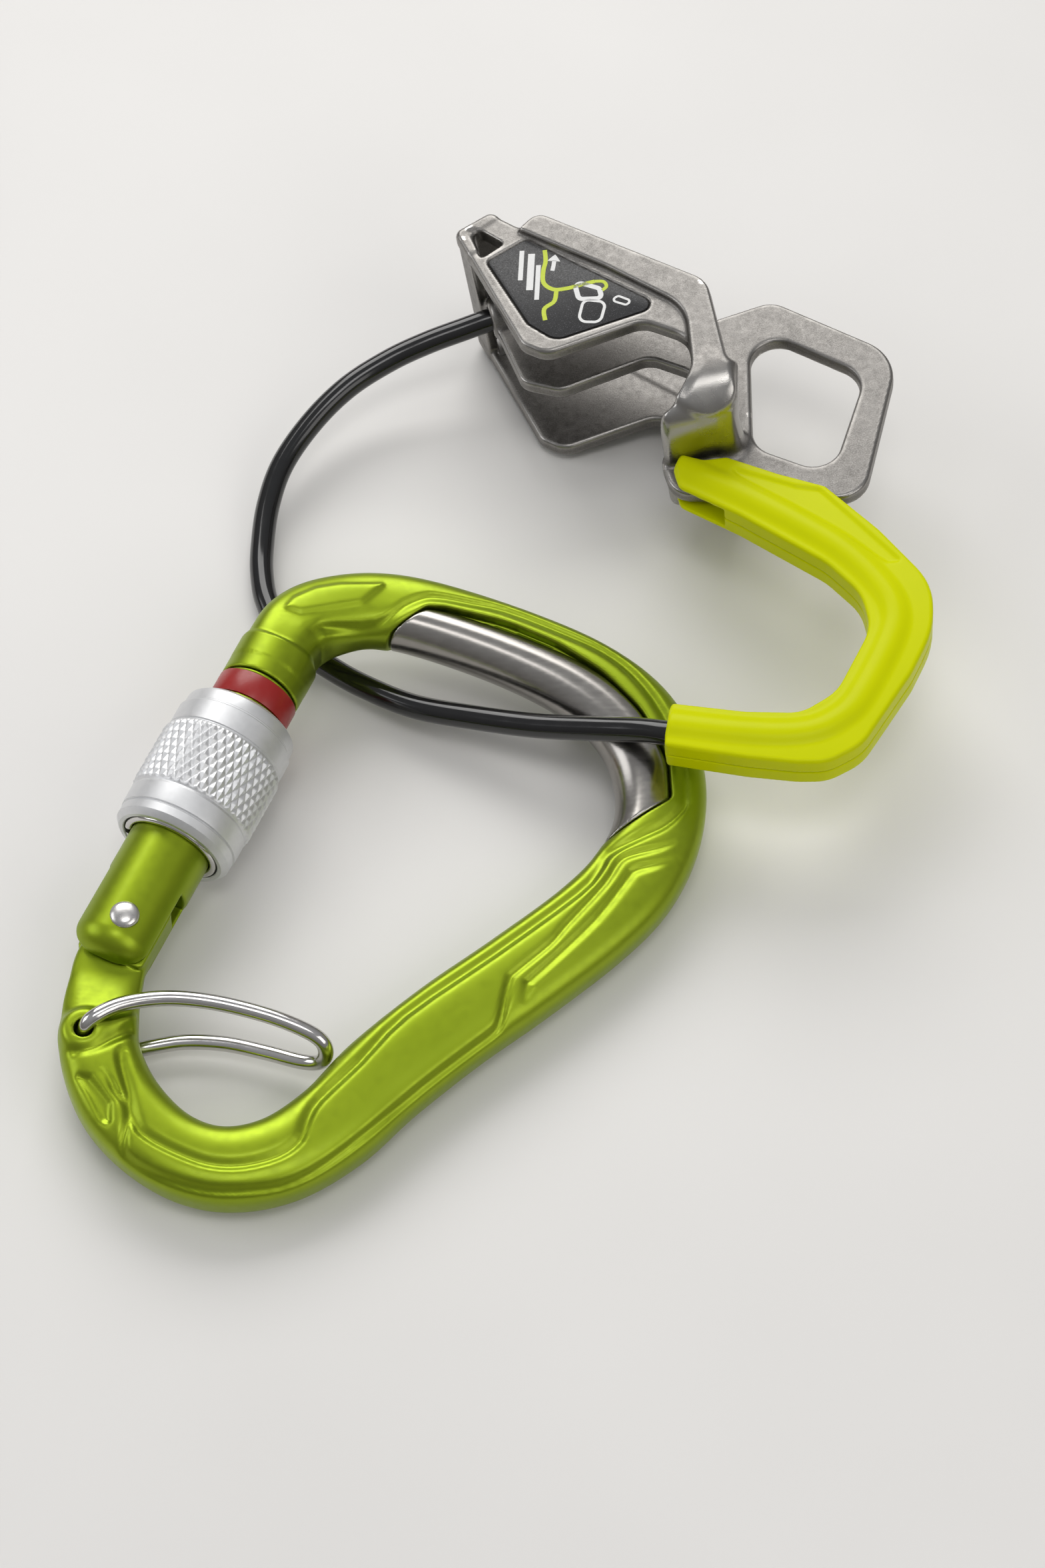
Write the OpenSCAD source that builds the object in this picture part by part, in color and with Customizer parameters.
// Rope descender with its cable keeper and its screw-gate carabiner, lying on its side.
// Millimetres. +Z is up; the origin is under the middle of the whole assembly, on the ground.

/* [Descender casting] */
// Height of each rope slot, between a cheek and the web
slot_gap = 10.8; // [9.5:0.1:11.5]
// Thickness of the two cheeks and of the web
plate_t = 2.8; // [2.4:0.1:3.2]
// How far the band along a cheek's upper edge stands above the cheek
band_rise = 1.3; // [0.6:0.1:1.6]
// Bend radius of the nose, from a cheek into its front wall
nose_bend = 5; // [4:0.5:6]
// Thickness of the label in each cheek
label_t = 0.35; // [0.2:0.05:0.4]

/* [Cable] */
// Outer diameter of the cable's black jacket
cable_d = 4; // [3.6:0.1:4.2]
// Diameter of the steel strands inside the jacket
core_d = 2.6; // [2.2:0.1:2.8]

/* [Handle] */
// Height of the handle's section
handle_h = 8.6; // [7.6:0.2:9]
// Diameter of the pin that joins the handle to the nose's lug
pin_d = 3.2; // [2.6:0.1:3.6]

/* [Carabiner] */
// Height of the frame's bar
bar_h = 10; // [9:0.2:10.4]
// Diameter of the gate's barrel
gate_d = 13.3; // [12.6:0.1:13.6]
// Diameter of the locking sleeve over its knurl
sleeve_d = 20.4; // [19.6:0.2:20.8]
// Length of the locking sleeve
sleeve_l = 25; // [23:0.5:25.5]
// Diameter of the gate's rivet
rivet_d = 4.4; // [3.6:0.2:4.8]
// Diameter of the wire bar across the small end
wire_d = 2.4; // [2:0.1:2.8]

/* [Hidden] */
$fn = 48;
fit = 0.05;
parting = 0.02;
ferrule_d = 5.4;
ferrule_l = 3.4;

// The whole assembly is laid out around a point on the ground, then moved over the origin.
centre = [-2.31, 10.14, -0.64];

// Place and tilt of the casting: it rests on its lower left edge.
casting_pos = [20.06, 73.1, 17.42];
casting_turn = [6.3, -4.6, -28];
// The handle's pin, in the casting's frame, and the handle's tilt over the carabiner.
pin_pos = [20.5, -18, 0];
handle_tilt = -3.9;
// Place and tilt of the carabiner: its gate lies along its own Y axis, through the origin.
carabiner_pos = [-59.18, -27.81, 9.35];
carabiner_turn = [2.9, 5.3, -23.9];

web_z = plate_t / 2;
cheek_in = web_z + slot_gap;
cheek_out = cheek_in + plate_t;
band_out = cheek_out + band_rise;

// The nose's front wall, square to this direction and this far from the casting's axis.
wall_turn = 36.5;
wall_out = 22.9;
wall_t = 3.5;

// Outlines in the casting's plane: x, y and the corner's radius.
cheek_edge = [[-35.5, 3.2, 1.4], [-31.8, 9.5, 1.4], [-25.6, 8.4, 1], [-24, 11.7, 2.5],
    [9, 9.6, 5], [22.8, -8.6, 3], [20.5, -13, 0.5], [14.4, -13, 0.5], [14.6, -7, 3],
    [11.4, -1.4, 6], [2.4, -1.4, 4.5], [-9.3, -13.6, 4.5], [-14.1, -13.3, 3]];
band_edge = [[-25, 8.2, 0.8], [-23.9, 11.7, 2.5], [9, 9.6, 5], [22.8, -8.6, 3],
    [20.5, -13, 0.5], [14.4, -13, 0.5], [14.6, -7.5, 8], [8, 3.4, 8], [-8, 5.8, 20],
    [-25.2, 7.2, 0.4]];
window_edge = [[-33.9, 4.1, 0.5], [-32.7, 5.5, 0.5], [-26.6, 4.3, 0.5], [-28.7, 0.2, 0.5]];
end_wall_edge = [[-35.5, 3.2, 1.4], [-31.8, 9.5, 1.4], [-29.6, 9.1, 0.8], [-32.4, 4, 1],
    [-29.8, 1.2, 0.5], [-31, -0.2, 0.5]];
web_edge = [[-34, 3.6, 1], [-31, 8.6, 1], [4.2, 8.6, 5], [15.3, 19.6, 5], [39.8, 17.4, 8],
    [46.8, -13.2, 5.5], [24.6, -13.2, 1.5], [24.6, -19.5, 4], [17, -22.4, 4.5],
    [12.4, -17.4, 3], [15.2, -8.4, 3], [11.8, 0.9, 6.5], [1.2, 0.9, 4], [-9.6, -10.9, 4],
    [-16.6, -11.9, 3]];
eye_edge = [[14, 13.4, 4.5], [36.2, 11.4, 5], [39.4, -8.7, 4.5], [25.2, -8.7, 5]];
nose_edge = [[14.6, -3, 0.5], [15, -11.6, 2.5], [12.3, -16, 2], [14.2, -19, 1],
    [22, -12.8, 1.5], [23.2, -8.4, 4], [20.6, -3, 0.5]];
label_edge = [[-23.4, 6.4, 1.6], [2.8, 2.6, 1.4], [1.6, 0.6, 1.8], [-9.2, -10.2, 3],
    [-14.8, -9, 2], [-27.3, -0.2, 0.9]];

// The cable's route, in the layout's frame: out of the casting, round behind, under the
// carabiner's nose, across its opening, over its basket and into the handle.
cable_route = [[0.4, 86.4, 16], [-2.8, 85.6, 15.5], [-6, 84.9, 15], [-10, 83.8, 14.1],
    [-16.4, 81.9, 12.7], [-22.9, 79.4, 11], [-30, 75.2, 9], [-36, 69.2, 7], [-40.9, 61.6, 5],
    [-43.2, 53.9, 3.4], [-43.9, 45.9, 2.4], [-43.7, 40, 2.1], [-42.5, 34.2, 2.05],
    [-39.2, 27.3, 2.1], [-32.4, 21.7, 2.4], [-26.2, 17.1, 3.1], [-17.6, 12, 4.6],
    [-7.5, 8.3, 6.8], [2.4, 4.9, 9.6], [12.3, 2.1, 13], [18.5, 0.3, 15.3],
    [22.9, -1.2, 16.6], [26.2, -1.9, 16.9], [29.6, -2.7, 17.2], [33.2, -3.6, 17.5]];

// The carabiner's centre line, from the nose round the basket, down the spine and round
// the small end to the hinge: x, y, half the bar's width and half its height.
bar_route = [[0, 40, 5.9, 5.9], [0, 50, 6.1, 6.1], [0.8, 54.7, 6.4, 5.8], [3.9, 59, 6.4, 5.4],
    [10.3, 63.4, 6.3, 5], [19.2, 65.7, 6.5, 5], [34, 66.9, 6.8, 5], [46.7, 66.2, 7.3, 5],
    [56.4, 62.8, 7.7, 5], [63.4, 56.1, 7.6, 5], [67.3, 47, 7.3, 5], [67.4, 37, 7.4, 5],
    [64.4, 27.2, 7.4, 5], [58, 13.9, 7.5, 5], [51.9, 2.3, 7.5, 5], [46.5, -9.8, 7.4, 5],
    [43.1, -19.8, 7, 5], [38, -28.1, 6.6, 5], [30.8, -33.1, 6.3, 5], [22.5, -33.9, 6.2, 5],
    [13.6, -30.8, 6.4, 5], [6.9, -25.1, 6.2, 5], [3.2, -18.2, 6, 4.2], [1.2, -11, 6, 3.8],
    [0.7, -5.5, 6, 3.8]];
bar_steps = 3;
insert_first = 12;
insert_last = 29;
insert_t = 1.7;
nose_y = 42;
hinge_pos = [0.7, -5];
hinge_end_r = 7.5;
tongue_t = 5;
// The tongue's outline about the hinge: its high corner works the pushrod
tongue_edge = [[-5.4, -9, 1], [-4.6, 3.5, 2.5], [5.4, 5.6, 1.2], [5.8, -9, 1]];
slot_top = 3.2;
gate_r = gate_d / 2;
nose_arc_r = nose_y - hinge_pos.y;
sleeve_y = 10.7;
sleeve_bore_r = gate_r + 0.2;
ring_r = 8;
ring_t = 1.6;
ring_gap = 1.2;
band_y = 37;
band_w = 4.2;
band_t = 0.35;
spring_bore_r = 3.1;
spring_y = 14.2;
spring_l = 11.6;
spring_turns = 6;
spring_wire = 0.8;
pushrod_x = 3;
pushrod_r = 1.3;
pushrod_tip = 0.5;
collar_r = 2.9;
collar_t = 1.4;

// The wire bar: up out of its hole, along to the spine, down and back below.
wire_route = [[3.4, -23.4, 1.4], [3.4, -23.3, 3.8], [4, -21.8, 5.4], [6.2, -18.6, 5.5],
    [9.6, -15.6, 5.1], [14, -13, 4.6], [20, -10.9, 4.2], [27, -9.5, 3.9], [32.4, -9, 3.4],
    [35.6, -9.1, 2.5], [36.9, -9.9, 0.6], [36.3, -10.9, -1.5], [33.4, -11.5, -2.9],
    [28, -12.2, -3.6], [21.8, -13.4, -4.1], [16, -15.6, -4.6], [11.6, -18.4, -5.1],
    [7.6, -21.4, -5.5], [4.4, -22.9, -5.4], [3.4, -23.3, -3.8], [3.4, -23.4, -1.4]];
wire_pivot = [3.4, -23.4];
lug_r = 4.2;
lug_z = 4;
pocket_edge = [[1, -26, 1.2], [-1.4, -21.6, 1.2], [0.6, -15, 1], [14, -14, 1], [14, -20.4, 1.5],
    [6.4, -26.4, 1.5]];

// The handle's centre line in its own frame, with its pin at the origin: x, y, half width.
handle_route = [[-4, -2.2, 1.2], [-1.4, -1.2, 2.7], [3, -0.2, 4.2], [9, 0.1, 5.2],
    [17, -0.3, 5.6], [29, -2.7, 5.7], [38, -7.4, 5.1], [42.6, -15, 4.5], [43, -27, 4.4],
    [41.6, -35, 4.5], [37, -40.6, 4.6], [29, -43.2, 4.5], [16.7, -46.4, 4.3]];
handle_steps = 3;
slot_half = 2;

function unit(v) = v / norm(v);
function flat(p) = [p.x, p.y];

// A polygon with each corner [x, y, r] rounded to its own radius.
function corner(a, p, b, r) =
    let (u = unit(flat(a) - flat(p)), v = unit(flat(b) - flat(p)),
        half = acos(max(-1, min(1, u * v))) / 2,
        c = flat(p) + unit(u + v) * r / sin(half),
        s = flat(p) + u * r / tan(half) - c,
        turn = (180 - 2 * half) * sign(cross(u, v)),
        n = max(2, ceil(abs(turn) / 15)))
    [for (i = [0:n]) let (w = -turn * i / n)
        c + [s.x * cos(w) - s.y * sin(w), s.x * sin(w) + s.y * cos(w)]];
function rounded(pts) = let (n = len(pts))
    [for (i = [0:n - 1]) each corner(pts[(i + n - 1) % n], pts[i], pts[(i + 1) % n], pts[i].z)];

// A smooth curve through points, with a number of steps from each point to the next.
function between(a, b, c, d, t) = (2 * b + (c - a) * t + (2 * a - 5 * b + 4 * c - d) * t * t
    + (3 * b - a - 3 * c + d) * t * t * t) / 2;
function smooth(p, steps) = let (m = len(p) - 1)
    [for (i = [0:m - 1], k = [0:steps - 1])
        between(p[max(0, i - 1)], p[i], p[i + 1], p[min(m, i + 2)], k / steps), p[m]];

// Sweeping: each ring stands square to the path, u to its right and v upwards.
function tangent(p, i) = unit(p[min(i + 1, len(p) - 1)] - p[max(i - 1, 0)]);
function ring(p, t, shape) = let (side = unit(cross(t, [0, 0, 1])), up = cross(side, t))
    [for (q = shape) p + q.x * side + q.y * up];
function skin(m, n, first, flip) = [for (i = [0:m - 2], j = [0:n - 1])
    let (a = first + i * n + j, b = first + i * n + (j + 1) % n)
    flip ? [b, a, a + n, b + n] : [a, b, b + n, a + n]];
function level(pts) = [for (p = pts) [p.x, p.y, 0]];

module sweep(path, shapes, headings = [], strip = false) {
    m = len(path);
    n = len(shapes[0]);
    rings = [for (i = [0:m - 1])
        each ring(path[i], len(headings) > 0 ? headings[i] : tangent(path, i), shapes[i])];
    ends = [[for (j = [n - 1:-1:0]) j], [for (j = [0:n - 1]) (m - 1) * n + j]];
    // The end of a bent strip is a row of small faces from its one side to its other
    steps = [for (j = [0:n / 2 - 2], e = [0, (m - 1) * n])
        e == 0 ? [n - 1 - j, n - 2 - j, j + 1, j] : [e + j, e + j + 1, e + n - 2 - j, e + n - 1 - j]];
    polyhedron(rings, concat(skin(m, n, 0, false), strip ? steps : ends), convexity = 10);
}

module tube(path, outer_r, inner_r, sides) {
    m = len(path);
    n = sides;
    outer = [for (j = [0:n - 1]) outer_r * [cos(j * 360 / n), sin(j * 360 / n)]];
    inner = outer * (inner_r / outer_r);
    rings = concat([for (i = [0:m - 1]) each ring(path[i], tangent(path, i), outer)],
        [for (i = [0:m - 1]) each ring(path[i], tangent(path, i), inner)]);
    start = [for (j = [0:n - 1]) [(j + 1) % n, j, m * n + j, m * n + (j + 1) % n]];
    last = (m - 1) * n;
    end = [for (j = [0:n - 1])
        [last + j, last + (j + 1) % n, last + m * n + (j + 1) % n, last + m * n + j]];
    polyhedron(rings, concat(skin(m, n, 0, false), skin(m, n, m * n, true), start, end),
        convexity = 10);
}

// Frames
module seat() { translate(-centre) children(); }
module casting() { seat() translate(casting_pos) rotate(casting_turn) children(); }
module handle() { casting() translate(pin_pos) rotate([handle_tilt, 0, 0]) children(); }
module carabiner() { seat() translate(carabiner_pos) rotate(carabiner_turn) children(); }
module along_gate(y) { translate([0, y, 0]) rotate([-90, 0, 0]) children(); }
module both_sides() {
    children();
    mirror([0, 0, 1]) children();
}
module from_to(a, b) {
    d = b - a;
    translate(a) rotate([0, acos(d.z / norm(d)), atan2(d.y, d.x)]) children();
}
module slab(edge, z0, z1) {
    translate([0, 0, z0]) linear_extrude(z1 - z0) polygon(rounded(edge));
}

// Descender casting
module nose_profile(depth, half, bend) {
    polygon(rounded([[-20, -half, 0.1], [depth, -half, bend], [depth, half, bend],
        [-20, half, 0.1]]));
}
module nose() {
    intersection() {
        slab(nose_edge, -band_out, band_out);
        rotate([0, 0, wall_turn - 90]) rotate([90, 0, 0])
            translate([0, 0, -40]) linear_extrude(80) difference() {
                nose_profile(wall_out, band_out, nose_bend);
                nose_profile(wall_out - wall_t, cheek_in, nose_bend - wall_t + 1);
            }
    }
}
module cable_socket() {
    seat() from_to(cable_route[2], cable_route[0]) translate([0, 0, 0.6])
        cylinder(d = 7.2, h = 7.4);
}
module cable_bore() {
    seat() from_to(cable_route[2], cable_route[0]) {
        translate([0, 0, -4]) cylinder(d = cable_d + 0.2, h = 7.4);
        translate([0, 0, 3.4]) cylinder(d = ferrule_d + 0.1, h = 8);
    }
}
module descender_frame() {
    color([0.62, 0.6, 0.57]) difference() {
        union() {
            casting() {
                both_sides() {
                    difference() {
                        slab(cheek_edge, cheek_in, cheek_out);
                        slab(window_edge, cheek_in - 1, cheek_out + 1);
                        slab(label_edge, cheek_out - label_t, cheek_out + 1);
                    }
                    slab(band_edge, cheek_out - 1, band_out);
                }
                slab(web_edge, -web_z, web_z);
                slab(end_wall_edge, 0.1 - cheek_out, cheek_out - 0.1);
                nose();
            }
            cable_socket();
        }
        casting() slab(eye_edge, -web_z - 1, web_z + 1);
        cable_bore();
        handle() cylinder(d = pin_d + 2 * fit, h = 8, center = true);
    }
}
module label(z) { color([0.1, 0.1, 0.11]) casting() slab(label_edge, z, z + label_t); }
module label_upper() { label(cheek_out - label_t); }
module label_lower() { label(-cheek_out); }
module ferrule(a, b, start) {
    color("silver") seat() from_to(a, b) translate([0, 0, start]) difference() {
        cylinder(d = ferrule_d, h = ferrule_l);
        translate([0, 0, -1]) cylinder(d = core_d + 0.26, h = ferrule_l + 2);
    }
}
module body_ferrule() { ferrule(cable_route[2], cable_route[0], 3.65); }

// Cable: the strands run on past the jacket at each end, into a ferrule
cable_path = smooth(cable_route, 2);
jacket_path = [for (i = [2:len(cable_path) - 3]) cable_path[i]];
module cable_jacket() {
    color([0.05, 0.05, 0.06]) seat() tube(jacket_path, cable_d / 2, core_d / 2 + 0.08, 10);
}
module cable_core() {
    shape = [for (j = [0:7]) core_d / 2 * [cos(j * 45), sin(j * 45)]];
    color("silver") seat() sweep(cable_path, [for (p = cable_path) shape]);
}

// Handle: two shells that meet at mid height, round the cable's end and the pin
module cable_channel() {
    last = len(cable_route) - 1;
    seat() from_to(cable_route[last - 1], cable_route[last]) {
        translate([0, 0, -9]) cylinder(d = cable_d + 0.5, h = 9.1);
        cylinder(d = ferrule_d + 0.1, h = ferrule_l + 0.4);
    }
}
module handle_ferrule() {
    last = len(cable_route) - 1;
    ferrule(cable_route[last - 1], cable_route[last], 0.2);
}
function shell_shape(w) = let (h = handle_h / 2 - parting, n = 5, round = min(1.8, 0.8 * w)) concat(
    [for (i = [0:n]) [w - round * (1 - cos(90 * i / n)), parting + h * sin(90 * i / n)]],
    [for (i = [0:n]) [-w + round * (1 - sin(90 * i / n)), parting + h * cos(90 * i / n)]]);
module handle_shell() {
    path = smooth(handle_route, handle_steps);
    difference() {
        sweep(level(path), [for (p = path) shell_shape(p.z)]);
        // Slot for the casting's lug and for the rim of its eye
        translate([-12, -5.8, -slot_half]) cube([18, 14, 2 * slot_half]);
        translate([-12, 3, -slot_half]) cube([42, 8, 2 * slot_half]);
        cylinder(d = pin_d, h = 20, center = true);
    }
}
module handle_upper_shell() {
    color([0.8, 0.85, 0.05]) difference() {
        handle() handle_shell();
        cable_channel();
    }
}
module handle_lower_shell() {
    color([0.72, 0.78, 0.05]) difference() {
        handle() mirror([0, 0, 1]) handle_shell();
        cable_channel();
    }
}
module handle_pivot_pin() {
    color("silver") handle() cylinder(d = pin_d, h = handle_h - 0.6, center = true);
}

// Carabiner
bar_path = smooth(bar_route, bar_steps);
function blunt(v) = sign(v) * pow(abs(v), 0.8);
function arch(w, h, angles) = [for (a = angles) [w * blunt(cos(a)), h * blunt(sin(a))]];
inner_half = [for (i = [-4:4]) 22.5 * i];
outer_half = [95.5, 112.5, 135, 157.5, 180, 202.5, 225, 247.5, 264.5];
function bar_shape(p, seat) = let (in = seat ? insert_t + 0.06 : 0)
    concat(arch(p[2] - in, p[3] - in, inner_half), arch(p[2], p[3], outer_half));
function liner_shape(p) = concat(arch(p[2] + 0.12, p[3] + 0.12, inner_half),
    arch(p[2] - insert_t, p[3] - insert_t, [for (i = [8:-1:0]) inner_half[i]]));
function past(i, t) = bar_path[i] * (1 - t) + bar_path[i + 1] * t;
function heading(i) = tangent(level(bar_path), i);
module liner() {
    path = concat([past(insert_first, 0.04)],
        [for (i = [insert_first + 1:insert_last - 1]) bar_path[i]], [past(insert_last - 1, 0.96)]);
    sweep(level(path), [for (p = path) liner_shape(p)],
        [for (i = [insert_first:insert_last]) heading(i)], true);
}
module at_hinge() { translate([hinge_pos.x, hinge_pos.y, 0]) children(); }
// The bar's stations: its section drops to the insert's seat between two close pairs
stations = concat([for (i = [0:insert_first]) [bar_path[i], false]],
    [[past(insert_first, 0.02), true]],
    [for (i = [insert_first + 1:insert_last - 1]) [bar_path[i], true]],
    [[past(insert_last - 1, 0.98), true]],
    [for (i = [insert_last:len(bar_path) - 1]) [bar_path[i], false]]);
headings = concat([for (i = [0:insert_first]) heading(i)], [heading(insert_first)],
    [for (i = [insert_first + 1:insert_last - 1]) heading(i)], [heading(insert_last)],
    [for (i = [insert_last:len(bar_path) - 1]) heading(i)]);
module frame_bar() {
    difference() {
        union() {
            sweep(level([for (p = stations) p[0]]), [for (p = stations) bar_shape(p[0], p[1])],
                headings);
            along_gate(nose_y - 1) cylinder(r = gate_r + 0.1, h = 7.3);
        }
        // The nose's face is an arc about the hinge, so that the gate swings past it
        intersection() {
            at_hinge() cylinder(r = nose_arc_r, h = 30, center = true);
            translate([-10, 35, -10]) cube([20, 15, 20]);
        }
        // Room for the gate's lower end and for the wire bar's ends
        at_hinge() cylinder(r = hinge_end_r + 0.5, h = 30, center = true);
        both_sides() slab(pocket_edge, lug_z, lug_z + 8);
    }
}
module carabiner_frame() {
    color([0.6, 0.72, 0.12]) carabiner() difference() {
        union() {
            frame_bar();
            translate(wire_pivot) cylinder(r = lug_r, h = 2 * lug_z, center = true);
            at_hinge() slab(tongue_edge, -tongue_t / 2, tongue_t / 2);
        }
        at_hinge() cylinder(d = rivet_d + 2 * fit, h = 30, center = true);
        both_sides() translate([wire_pivot.x, wire_pivot.y, 1]) cylinder(d = wire_d + 0.7, h = 9);
    }
}
module basket_insert() { color([0.66, 0.64, 0.62]) carabiner() liner(); }

// Gate
module gate_barrel() {
    color([0.6, 0.72, 0.12]) carabiner() difference() {
        intersection() {
            along_gate(-14) cylinder(r = gate_r, h = 60);
            at_hinge() cylinder(r = nose_arc_r - 0.15, h = 30, center = true);
            union() {
                at_hinge() cylinder(r = hinge_end_r, h = 30, center = true);
                translate([-10, hinge_pos.y, -10]) cube([20, 60, 20]);
            }
        }
        // Fork for the frame's tongue, bores for the pushrod and its spring
        translate([-10, -16, -tongue_t / 2 - 0.1]) cube([20, 16 + slot_top, tongue_t + 0.2]);
        at_hinge() cylinder(d = rivet_d + 2 * fit, h = 30, center = true);
        translate([pushrod_x, 0, 0]) {
            along_gate(0) cylinder(r = pushrod_r + fit, h = 12);
            along_gate(11) cylinder(r = spring_bore_r, h = 15);
        }
        // Seat of the lock indicator
        along_gate(band_y) difference() {
            cylinder(r = gate_r + 1, h = band_w);
            translate([0, 0, -1]) cylinder(r = gate_r - band_t, h = band_w + 2);
        }
    }
}
module gate_rivet() {
    head = 0.9;
    dome = [for (i = [0:6]) [rivet_d / 2 * cos(15 * i), gate_r - 0.1 + head * sin(15 * i)]];
    color("silver") carabiner() at_hinge() both_sides()
        rotate_extrude() polygon(concat([[0, 0], [rivet_d / 2, 0]], dome));
}
module gate_pushrod() {
    color("silver") carabiner() translate([pushrod_x, 0, 0]) {
        along_gate(pushrod_tip) cylinder(r = pushrod_r, h = spring_y - pushrod_tip - 0.1);
        along_gate(spring_y - collar_t - 0.1) cylinder(r = collar_r, h = collar_t);
    }
}
module gate_spring() {
    steps = 16;
    r = spring_bore_r - spring_wire / 2 - 0.15;
    rise = spring_l - spring_wire;
    shape = [for (j = [0:5]) spring_wire / 2 * [cos(j * 60), sin(j * 60)]];
    path = [for (i = [0:spring_turns * steps]) let (a = i * 360 / steps)
        [r * cos(a), r * sin(a), spring_wire / 2 + rise * i / (spring_turns * steps)]];
    color("silver") carabiner() translate([pushrod_x, 0, 0])
        along_gate(spring_y) sweep(path, [for (p = path) shape]);
}
module lock_indicator() {
    color([0.6, 0.1, 0.08]) carabiner() along_gate(band_y) difference() {
        cylinder(r = gate_r + 0.1, h = band_w);
        translate([0, 0, -1]) cylinder(r = gate_r - band_t, h = band_w + 2);
    }
}
module locking_sleeve() {
    knurl_r = sleeve_d / 2;
    l = sleeve_l;
    profile = [[ring_r + 0.1, 0], [knurl_r - 1.3, 0], [knurl_r - 0.5, 0.9], [knurl_r - 0.5, 2.4],
        [knurl_r - 0.3, 2.6], [knurl_r - 0.3, 6.4], [knurl_r, 6.7], [knurl_r, 17.8],
        [knurl_r - 0.4, 18.2], [knurl_r - 0.4, l - 3], [knurl_r - 0.8, l - 2.7],
        [knurl_r - 0.8, l - 0.8], [knurl_r - 1.5, l], [sleeve_bore_r, l], [sleeve_bore_r, 2.4],
        [ring_r + 0.1, 2.4]];
    color([0.75, 0.75, 0.76]) carabiner() along_gate(sleeve_y) rotate_extrude() polygon(profile);
}
module sleeve_ring() {
    color("silver") carabiner() along_gate(sleeve_y + 0.4) difference() {
        cylinder(r = ring_r, h = ring_t);
        translate([0, 0, -1]) cylinder(r = gate_r + 0.07, h = ring_t + 2);
        translate([-12, -ring_gap / 2, -1]) cube([12, ring_gap, ring_t + 2]);
    }
}

// Wire bar across the small end
module wire_bar() {
    shape = [for (j = [0:7]) wire_d / 2 * [cos(j * 45), sin(j * 45)]];
    path = smooth(wire_route, 2);
    color("silver") carabiner() sweep(path, [for (p = path) shape]);
}

descender_frame();
label_upper();
label_lower();
body_ferrule();
cable_jacket();
cable_core();
handle_ferrule();
handle_upper_shell();
handle_lower_shell();
handle_pivot_pin();
carabiner_frame();
basket_insert();
gate_barrel();
gate_rivet();
gate_pushrod();
gate_spring();
lock_indicator();
locking_sleeve();
sleeve_ring();
wire_bar();
